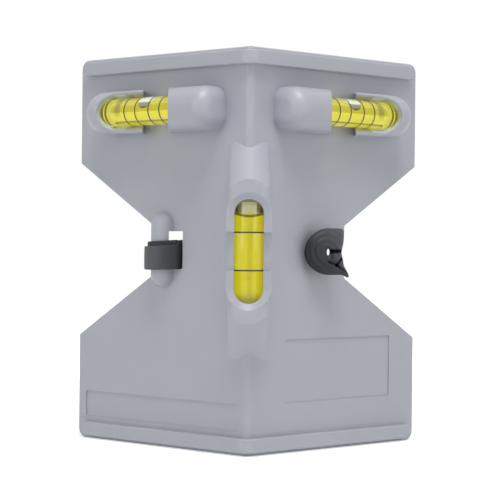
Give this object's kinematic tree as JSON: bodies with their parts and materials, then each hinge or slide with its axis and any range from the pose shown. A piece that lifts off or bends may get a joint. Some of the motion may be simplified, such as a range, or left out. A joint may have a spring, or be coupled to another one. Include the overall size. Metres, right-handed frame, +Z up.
{
  "type": "post level",
  "caption": "V-shaped post level that clasps a post corner with a rubber strap and shows plumb in both directions through vials on its ridge and wings.",
  "frame": {"origin": "under the middle of the bounding box, on the surface that the level stands on", "axes": "+Z up along the ridge, -Y from the open back of the V towards the ridge and its vial, +X to the viewer's right when the ridge faces them"},
  "size_m": [0.118, 0.0712, 0.133],
  "materials": {
    "body": "grey moulded plastic, fine grain, soft sheen",
    "vial": "clear polished acrylic",
    "fluid": "clear yellow-green liquid",
    "bubble": "air bubble in the liquid",
    "line_ink": "black printed ring",
    "strap_rubber": "matt black rubber"
  },
  "bodies": {
    "frame": {"moulded_frame": "body", "left_vial_tube": "vial", "left_vial_plug": "vial", "left_vial_fluid": "fluid", "left_vial_outer_line_a": "line_ink", "left_vial_inner_line_a": "line_ink", "left_vial_inner_line_b": "line_ink", "left_vial_outer_line_b": "line_ink", "right_vial_tube": "vial", "right_vial_plug": "vial", "right_vial_fluid": "fluid", "right_vial_outer_line_a": "line_ink", "right_vial_inner_line_a": "line_ink", "right_vial_inner_line_b": "line_ink", "right_vial_outer_line_b": "line_ink", "ridge_vial_tube": "vial", "ridge_vial_plug": "vial", "ridge_vial_fluid": "fluid", "ridge_vial_lower_line": "line_ink", "ridge_vial_upper_line": "line_ink", "strap_loop": "strap_rubber", "strap_band": "strap_rubber", "strap_neck": "strap_rubber"},
    "left_bubble": {"left_vial_bubble": "bubble"},
    "right_bubble": {"right_vial_bubble": "bubble"},
    "ridge_bubble": {"ridge_vial_bubble": "bubble"},
    "strap_end": {"strap_tail": "strap_rubber"}
  },
  "joints": [
    {"name": "left_bubble_travel", "type": "slide", "parent": "frame", "child": "left_bubble", "axis": [-0.7071, 0.7071, 0], "range_m": [-0.0135, 0.0135], "stiffness_N_per_m": 1, "deforming": ["left_vial_fluid"]},
    {"name": "right_bubble_travel", "type": "slide", "parent": "frame", "child": "right_bubble", "axis": [0.7071, 0.7071, 0], "range_m": [-0.0135, 0.0135], "stiffness_N_per_m": 1, "deforming": ["right_vial_fluid"]},
    {"name": "ridge_bubble_travel", "type": "slide", "parent": "frame", "child": "ridge_bubble", "axis": [0, 0, 1], "range_m": [-0.0285, 0], "stiffness_N_per_m": 0.5, "springref_m": 0.01, "deforming": ["ridge_vial_fluid"]},
    {"name": "strap_pull", "type": "slide", "parent": "frame", "child": "strap_end", "axis": [0, -1, 0], "range_m": [0, 0.012], "stiffness_N_per_m": 800, "deforming": ["strap_neck"]}
  ]
}
